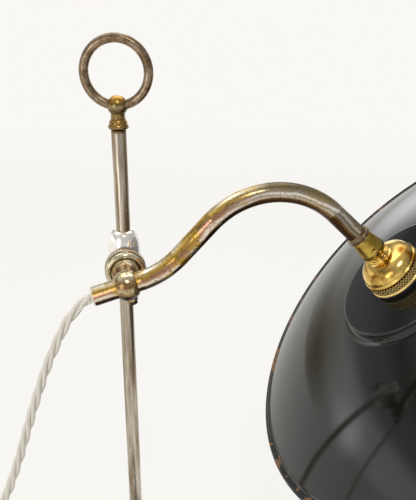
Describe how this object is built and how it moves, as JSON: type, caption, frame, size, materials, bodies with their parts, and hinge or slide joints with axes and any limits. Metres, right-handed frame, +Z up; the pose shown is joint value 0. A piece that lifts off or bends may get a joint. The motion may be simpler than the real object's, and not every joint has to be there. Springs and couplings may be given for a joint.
{
  "type": "bouillotte lamp",
  "caption": "Adjustable desk lamp: a sliding, turning and tilting swan-neck arm holds a wide enamelled shade and a screw lampholder on a weighted stem with a ring handle.",
  "frame": {"origin": "centre of the foot's underside, on the table", "axes": "+Z up along the stem, the arm and shade reach towards +X, the swivel's front faces -Y"},
  "size_m": [0.5558, 0.328, 0.48],
  "materials": {
    "felt": "matt green felt",
    "cast_weight": "rough cast",
    "aged_brass": "dark, worn patina",
    "bright_brass": "polished",
    "zinc_steel": "plain zinc",
    "stem_steel": "drawn bar with worn nickel",
    "finial_brass": "worn nickel over brass",
    "ring_brass": "dark, worn nickel over brass",
    "bush_brass": "turned",
    "bright_nickel": "mirror polished nickel",
    "fibre": "red vulcanised fibre",
    "worn_nickel": "nickel worn through to brass",
    "dark_steel": "blackened",
    "arm_nickel": "nickel worn through to brass",
    "ivory_rubber": "smooth",
    "cord_cotton": "braided cotton",
    "black_rubber": "smooth",
    "shade_enamel": "gloss black enamel",
    "porcelain": "glazed porcelain",
    "bulb_metal": "pressed",
    "opal_glass": "opal white",
    "ivory_plastic": "moulded",
    "black_plastic": "moulded",
    "contact_brass": "plain",
    "fuse_ceramic": "ceramic"
  },
  "bodies": {
    "stand": {"felt_pad": "felt", "base_weight": "cast_weight", "base_cover": "aged_brass", "stem_socket": "aged_brass", "stem_washer": "zinc_steel", "stem_nut": "zinc_steel", "stem": "stem_steel", "finial": "finial_brass", "ring_handle": "ring_brass", "cord_drop": "cord_cotton", "switch_base": "ivory_plastic", "switch_cover": "ivory_plastic", "switch_contacts": "contact_brass", "switch_screws": "zinc_steel", "cord_tail": "cord_cotton", "cord_coil": "cord_cotton", "plug_lead": "cord_cotton", "plug_cover": "black_plastic", "plug_carrier": "black_plastic", "plug_pins": "contact_brass", "plug_fuse": "fuse_ceramic"},
    "rocker": {"switch_rocker": "black_plastic"},
    "slider": {"slider_bush": "bush_brass", "bush_clip": "zinc_steel"},
    "swivel_head": {"slider_block": "bright_nickel", "brake_shoe": "bush_brass", "friction_washer": "fibre"},
    "thumbscrew": {"thumbscrew": "worn_nickel"},
    "swivel_nut": {"swivel_nut": "worn_nickel"},
    "arm_holder": {"swivel_spindle": "worn_nickel", "spring_washer": "zinc_steel"},
    "lock_screw": {"arm_lock_screw": "dark_steel"},
    "arm": {"arm_tube": "arm_nickel", "arm_grommet": "ivory_rubber", "arm_lead": "cord_cotton", "end_collar": "aged_brass", "nipple": "bush_brass", "cord_grip": "bright_brass", "grip_screw": "bright_brass", "lampholder_cap": "bright_brass", "lampholder_sleeve": "bright_brass", "upper_shade_ring": "bright_brass", "shade_gasket": "black_rubber", "shade": "shade_enamel", "lower_shade_ring": "bright_brass", "lampholder_insert": "porcelain", "screw_shell": "contact_brass", "centre_contact": "contact_brass", "terminal_screws": "zinc_steel", "bulb_cap": "bulb_metal", "bulb_globe": "opal_glass"}
  },
  "joints": [
    {"name": "stem_slide", "type": "slide", "parent": "stand", "child": "slider", "axis": [0, 0, 1], "range_m": [-0.08, 0.06], "deforming": ["cord_drop"]},
    {"name": "stem_swing", "type": "hinge", "parent": "slider", "child": "swivel_head", "pos_m": [0, 0, 0.3255], "axis": [0, 0, 1], "range_deg": [-170, 170]},
    {"name": "arm_tilt", "type": "hinge", "parent": "swivel_head", "child": "arm_holder", "pos_m": [0, -0.045, 0.3255], "axis": [0, -1, 0], "range_deg": [-25, 60]},
    {"name": "arm_roll", "type": "hinge", "parent": "arm_holder", "child": "arm", "pos_m": [0, -0.045, 0.3255], "axis": [0.9588, 0, 0.284], "range_deg": [-45, 45]},
    {"name": "thumbscrew_turn", "type": "hinge", "parent": "swivel_head", "child": "thumbscrew", "pos_m": [0, 0.02, 0.3255], "axis": [0, 1, 0], "range_deg": [0, 360]},
    {"name": "swivel_nut_turn", "type": "hinge", "parent": "swivel_head", "child": "swivel_nut", "pos_m": [0, -0.018, 0.3255], "axis": [0, -1, 0], "range_deg": [0, 360]},
    {"name": "lock_screw_turn", "type": "hinge", "parent": "arm_holder", "child": "lock_screw", "pos_m": [0, -0.045, 0.3255], "axis": [0.284, 0, -0.9588], "range_deg": [0, 360]},
    {"name": "switch_rocker_tilt", "type": "hinge", "parent": "stand", "child": "rocker", "pos_m": [-0.15, -0.115, 0.012], "axis": [0, -1, 0], "range_deg": [-16, 0]}
  ]
}
